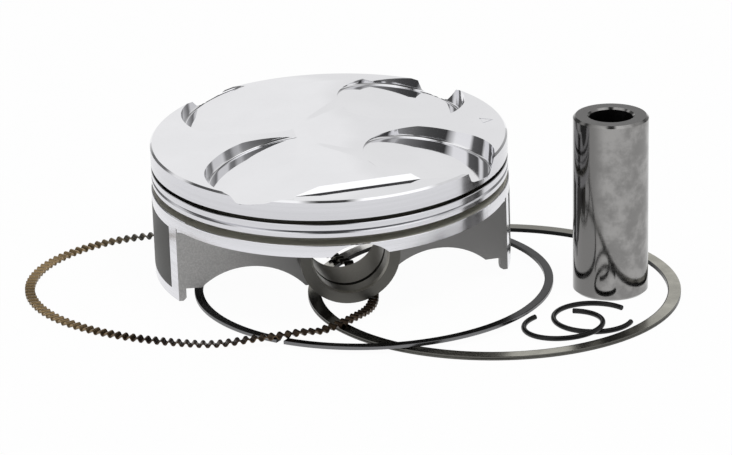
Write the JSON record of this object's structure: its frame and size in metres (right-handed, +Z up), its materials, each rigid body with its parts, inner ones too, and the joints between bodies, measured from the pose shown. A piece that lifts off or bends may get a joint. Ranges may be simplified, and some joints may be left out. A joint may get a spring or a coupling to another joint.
{
  "type": "piston kit",
  "caption": "Forged four-stroke motorcycle piston laid out with its compression ring, oil ring set, wrist pin and circlips.",
  "frame": {"origin": "centre of the piston's pin bore, on the cylinder axis", "axes": "+Z up from the surface the kit lies on and along the standing wrist pin; +X along the longest extent, from the piston towards the wrist pin; the camera side is -Y"},
  "size_m": [0.14, 0.0948, 0.039],
  "materials": {
    "machined_aluminium": "bright turned and milled aluminium on crown and ring lands, matte forged grey on the side panels",
    "skirt_coating": "matte dark grey printed dry-film coating",
    "ring_steel": "dark nitrided steel with a satin edge",
    "expander_steel": "straw and bronze tempered spring steel strip",
    "rail_steel": "warm light grey satin steel",
    "pin_steel": "ground and polished dark steel",
    "clip_wire": "black oiled spring wire"
  },
  "bodies": {
    "lower_rail": {"oil_rail_lower": "rail_steel"},
    "upper_rail": {"oil_rail_upper": "rail_steel"},
    "compression": {"compression_ring": "ring_steel"},
    "expander": {"oil_expander": "expander_steel"},
    "piston": {"piston": "machined_aluminium", "skirt_coating_left": "skirt_coating", "skirt_coating_right": "skirt_coating"},
    "pin": {"wrist_pin": "pin_steel"},
    "rear_clip": {"circlip_rear": "clip_wire"},
    "front_clip": {"circlip_front": "clip_wire"}
  },
  "joints": [
    {"name": "upper_rail_lift", "type": "slide", "parent": "lower_rail", "child": "upper_rail", "axis": [0, 0, 1], "range_m": [0, 0.06]},
    {"name": "compression_ring_lift", "type": "slide", "parent": "upper_rail", "child": "compression", "axis": [0, 0, 1], "range_m": [0, 0.06]},
    {"name": "expander_lift", "type": "slide", "parent": "compression", "child": "expander", "axis": [0, 0, 1], "range_m": [0, 0.06]},
    {"name": "piston_lift", "type": "slide", "parent": "expander", "child": "piston", "axis": [0, 0, 1], "range_m": [0, 0.06]},
    {"name": "wrist_pin_lift", "type": "slide", "parent": "lower_rail", "child": "pin", "axis": [0, 0, 1], "range_m": [0, 0.06]},
    {"name": "rear_circlip_lift", "type": "slide", "parent": "lower_rail", "child": "rear_clip", "axis": [0, 0, 1], "range_m": [0, 0.06]},
    {"name": "front_circlip_lift", "type": "slide", "parent": "rear_clip", "child": "front_clip", "axis": [0, 0, 1], "range_m": [0, 0.06]}
  ]
}
